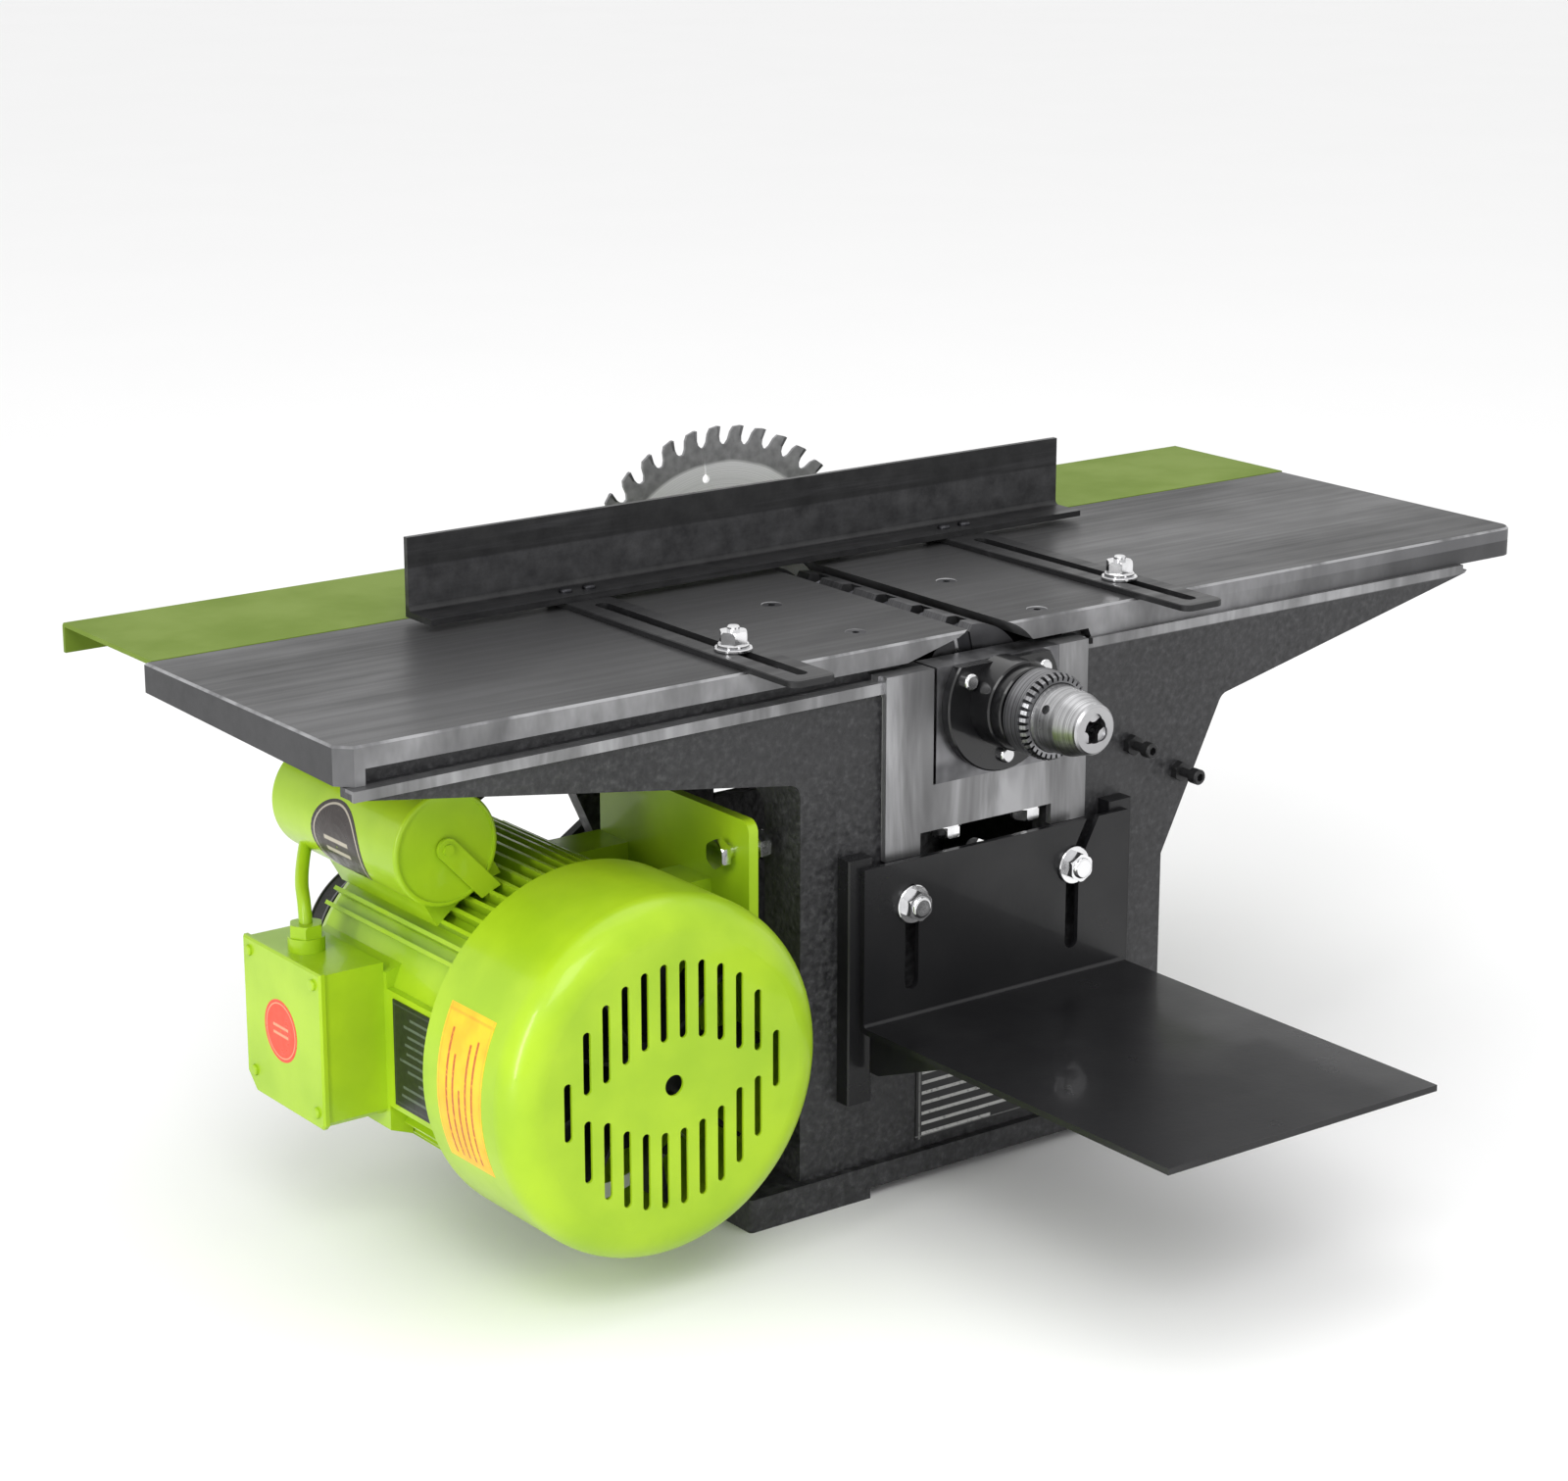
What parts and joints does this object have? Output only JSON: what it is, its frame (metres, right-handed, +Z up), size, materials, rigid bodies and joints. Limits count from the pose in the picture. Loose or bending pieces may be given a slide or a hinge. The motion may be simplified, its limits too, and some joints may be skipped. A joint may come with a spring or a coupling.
{
  "type": "benchtop combination jointer",
  "caption": "Bench jointer with cutterhead between two tables, fence on slotted arms, saw blade behind, drill chuck and mortising table in front, hinged belt-drive motor.",
  "frame": {"origin": "centre of the four base bolt holes, at the underside of the feet", "axes": "+X along the tables towards the infeed end, +Y away from the operator towards the saw blade, +Z up"},
  "size_m": [0.956, 0.662, 0.443],
  "materials": {
    "casting_paint": "black hammered paint",
    "table_iron": "ground, dark, fine lengthwise grain",
    "green_paint": "gloss",
    "green_alloy": "gloss paint",
    "capacitor_green": "gloss",
    "black_steel": "black oxide",
    "black_paint": "gloss black",
    "bright_steel": "machined",
    "chrome_steel": "bright plated",
    "zinc_steel": "zinc plated",
    "blade_steel": "polished",
    "carbide": "ground",
    "rubber": "matt",
    "black_plastic": "matt",
    "lead_sheath": "painted green, satin",
    "silver_label": "printed plate, blank",
    "black_label": "printed plate, blank",
    "stator_iron": "laminated, copper wound",
    "pulley_iron": "turned"
  },
  "bodies": {
    "base": {"base_casting": "casting_paint", "outfeed_table": "table_iron", "outfeed_table_screws": "zinc_steel", "saw_table": "green_paint", "saw_table_brackets": "black_paint", "fence_clamps": "chrome_steel", "bearing_blocks": "bright_steel", "bearing_block_bolts": "chrome_steel", "front_bearing_cover": "black_paint", "rear_bearing_cover": "black_paint", "bearing_cover_screws": "chrome_steel", "bearing_outer_rings": "bright_steel", "mortise_guide_rails": "black_steel", "mortise_clamps": "chrome_steel", "label_plate": "black_label", "hinge_rod": "chrome_steel", "v_belts": "rubber", "infeed_gib_strip": "bright_steel"},
    "infeed": {"infeed_table": "table_iron", "infeed_table_screws": "zinc_steel"},
    "adjuster": {"infeed_adjusting_screw": "bright_steel"},
    "upper_lock": {"upper_lock_screw": "black_steel"},
    "lower_lock": {"lower_lock_screw": "black_steel"},
    "spindle": {"cutterhead": "bright_steel", "knives": "blade_steel", "knife_gibs": "bright_steel", "gib_screws": "black_steel", "spindle_pulley": "pulley_iron", "saw_blade": "blade_steel", "blade_tips": "carbide", "blade_flanges_and_nut": "bright_steel", "bearing_inner_races": "bright_steel", "chuck_body": "bright_steel"},
    "sleeve": {"chuck_sleeve": "bright_steel"},
    "jaw_1": {"chuck_jaw_1": "bright_steel"},
    "jaw_2": {"chuck_jaw_2": "bright_steel"},
    "jaw_3": {"chuck_jaw_3": "bright_steel"},
    "fence": {"fence_rail": "black_steel", "fence_arms": "black_steel", "fence_arm_screws": "zinc_steel"},
    "mortiser": {"mortise_table": "black_steel"},
    "motor": {"motor_plate": "green_paint", "motor_screws": "zinc_steel", "motor_frame": "green_alloy", "motor_end_shields": "green_alloy", "motor_bearings": "bright_steel", "fan_cover": "green_paint", "stator": "stator_iron", "terminal_box": "green_paint", "terminal_box_lid": "green_paint", "cable_gland": "capacitor_green", "capacitor": "capacitor_green", "capacitor_bracket": "green_paint", "capacitor_lead": "lead_sheath", "nameplate": "black_label", "tension_screw": "chrome_steel"},
    "rotor": {"rotor": "bright_steel", "cooling_fan": "black_plastic", "motor_pulley": "pulley_iron"}
  },
  "joints": [
    {"name": "infeed_slide", "type": "slide", "parent": "base", "child": "infeed", "axis": [0.8572, 0, -0.515], "range_m": [0, 0.0062]},
    {"name": "adjusting_screw_turn", "type": "hinge", "parent": "infeed", "child": "adjuster", "pos_m": [0.14, 0, 0.268], "axis": [0.8572, 0, -0.515], "range_deg": [0, 1490]},
    {"name": "upper_lock_screw_turn", "type": "hinge", "parent": "base", "child": "upper_lock", "pos_m": [0.119, -0.115, 0.264], "axis": [0, -1, 0], "range_deg": [0, 360]},
    {"name": "lower_lock_screw_turn", "type": "hinge", "parent": "base", "child": "lower_lock", "pos_m": [0.162, -0.115, 0.2385], "axis": [0, -1, 0], "range_deg": [0, 360]},
    {"name": "spindle_spin", "type": "hinge", "parent": "base", "child": "spindle", "pos_m": [0, 0, 0.316], "axis": [0, 1, 0], "continuous": true},
    {"name": "chuck_sleeve_turn", "type": "hinge", "parent": "spindle", "child": "sleeve", "pos_m": [0, -0.168, 0.316], "axis": [0, -1, 0], "range_deg": [-1720, 1230]},
    {"name": "jaw_1_slide", "type": "slide", "parent": "spindle", "child": "jaw_1", "axis": [0, 0.9563, 0.2924], "range_m": [-0.0144, 0.0103]},
    {"name": "jaw_2_slide", "type": "slide", "parent": "spindle", "child": "jaw_2", "axis": [-0.2532, 0.9563, -0.1462], "range_m": [-0.0144, 0.0103]},
    {"name": "jaw_3_slide", "type": "slide", "parent": "spindle", "child": "jaw_3", "axis": [0.2532, 0.9563, -0.1462], "range_m": [-0.0144, 0.0103]},
    {"name": "fence_slide", "type": "slide", "parent": "base", "child": "fence", "axis": [0, 1, 0], "range_m": [-0.12, 0.05]},
    {"name": "mortise_table_lift", "type": "slide", "parent": "base", "child": "mortiser", "axis": [0, 0, 1], "range_m": [-0.006, 0.04]},
    {"name": "motor_swing", "type": "hinge", "parent": "base", "child": "motor", "pos_m": [-0.1675, 0, 0.052], "axis": [0, 1, 0], "range_deg": [-4, 1], "deforming": ["v_belts"]},
    {"name": "rotor_spin", "type": "hinge", "parent": "motor", "child": "rotor", "pos_m": [-0.297, 0, 0.144], "axis": [0, 1, 0], "continuous": true}
  ],
  "couplings": [
    {"joint": "adjusting_screw_turn", "follows": "infeed_slide", "rad_per_m": 4188.8},
    {"joint": "rotor_spin", "follows": "spindle_spin", "ratio": 0.7},
    {"joint": "jaw_1_slide", "follows": "chuck_sleeve_turn", "m_per_rad": 0.00047746},
    {"joint": "jaw_2_slide", "follows": "chuck_sleeve_turn", "m_per_rad": 0.00047746},
    {"joint": "jaw_3_slide", "follows": "chuck_sleeve_turn", "m_per_rad": 0.00047746}
  ]
}
